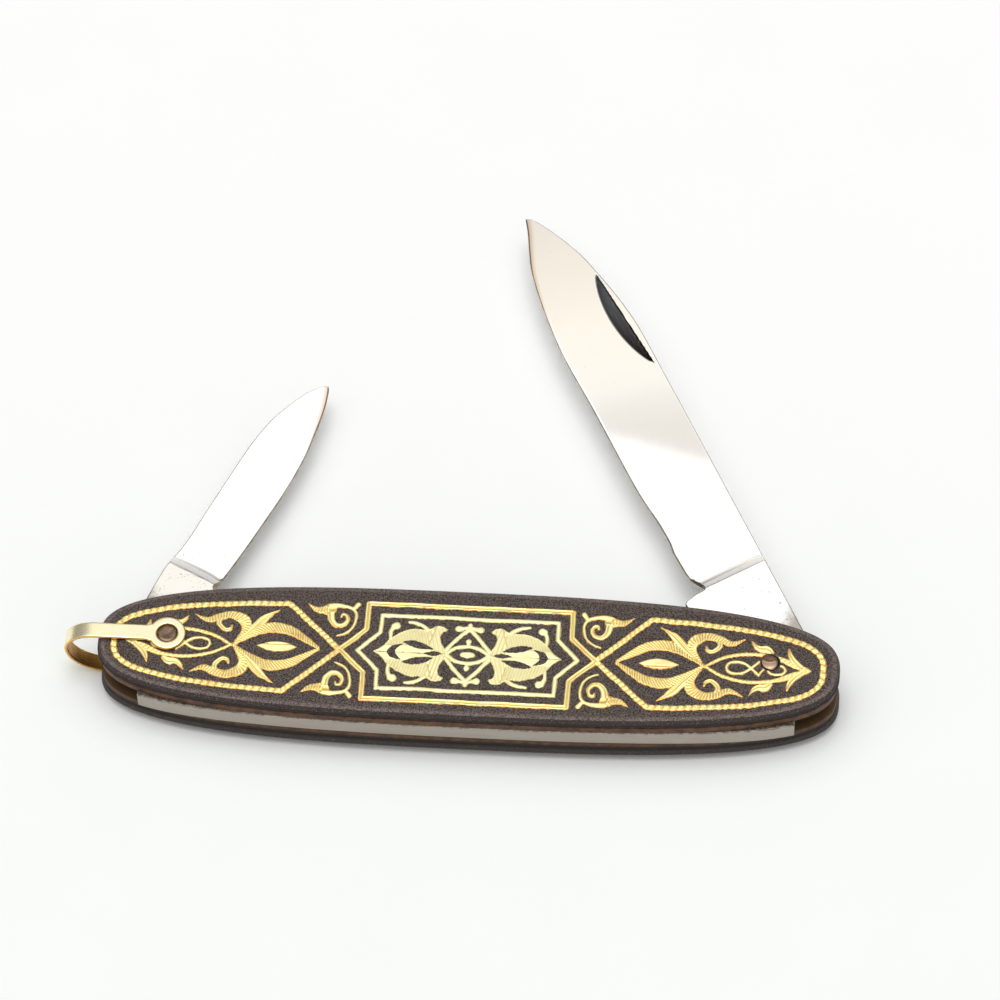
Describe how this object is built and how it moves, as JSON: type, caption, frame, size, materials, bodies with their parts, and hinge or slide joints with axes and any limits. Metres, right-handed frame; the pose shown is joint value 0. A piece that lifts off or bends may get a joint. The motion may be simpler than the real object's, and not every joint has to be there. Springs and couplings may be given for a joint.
{
  "type": "folding pen knife",
  "caption": "Folding pocket knife with opposed blades, a shared back spring, gold-inlaid dark steel scales over brass liners and a wire bail round the end.",
  "frame": {"origin": "centre of the handle's outline, halfway through its thickness", "axes": "+X along the handle towards the large blade's pivot, +Y towards the side that the blades open from, +Z out of the front scale. Both blades are drawn half open."},
  "size_m": [0.0838, 0.0675, 0.0082],
  "materials": {
    "dark_steel": "blackened and finely pebbled steel, with rust flecks and a worn rim",
    "gold": "chased gold inlay, warm yellow, matt between the tool marks",
    "pale_gold": "chased pale gold inlay with a fine grain",
    "liner_brass": "tarnished sheet brass",
    "spring_steel": "satin, drawn lengthwise, with dirt along one edge",
    "blade_steel": "bright satin, with fine scratches and a tan tarnish line at the edge",
    "pin_bronze": "dull brown peened pin ends",
    "bail_gold": "polished gilt strip with a matt inner side"
  },
  "bodies": {
    "handle": {"front_scale": "dark_steel", "back_scale": "dark_steel", "front_liner": "liner_brass", "back_liner": "liner_brass", "back_spring": "spring_steel", "spring_rivet": "liner_brass", "large_blade_pin": "pin_bronze", "small_blade_pin": "pin_bronze", "large_blade_spacer": "liner_brass", "small_blade_spacer": "liner_brass", "front_border_inlay": "gold", "front_panel_inlay": "gold", "front_inner_panel_inlay": "pale_gold", "front_centre_inlay": "pale_gold", "front_leaf_inlay": "gold", "front_finial_inlay": "gold", "front_scroll_inlay": "gold", "back_border_inlay": "gold", "back_panel_inlay": "gold", "back_inner_panel_inlay": "pale_gold", "back_centre_inlay": "pale_gold", "back_leaf_inlay": "gold", "back_finial_inlay": "gold", "back_scroll_inlay": "gold"},
    "large_blade": {"large_blade": "blade_steel"},
    "small_blade": {"small_blade": "blade_steel"},
    "bail": {"bail": "bail_gold"}
  },
  "joints": [
    {"name": "large_blade_hinge", "type": "hinge", "parent": "handle", "child": "large_blade", "pos_m": [0.0325, 0.0006, 0.00055], "axis": [0, 0, -1], "range_deg": [-60, 117]},
    {"name": "small_blade_hinge", "type": "hinge", "parent": "handle", "child": "small_blade", "pos_m": [-0.0325, 0.0006, -0.00055], "axis": [0, 0, 1], "range_deg": [-62, 112]},
    {"name": "bail_hinge", "type": "hinge", "parent": "handle", "child": "bail", "pos_m": [-0.0325, 0.0006, 0], "axis": [0, 0, 1], "range_deg": [-46.5, 84]}
  ],
  "couplings": [
    {"joint": "bail_hinge", "follows": "small_blade_hinge", "ratio": 0.75}
  ]
}
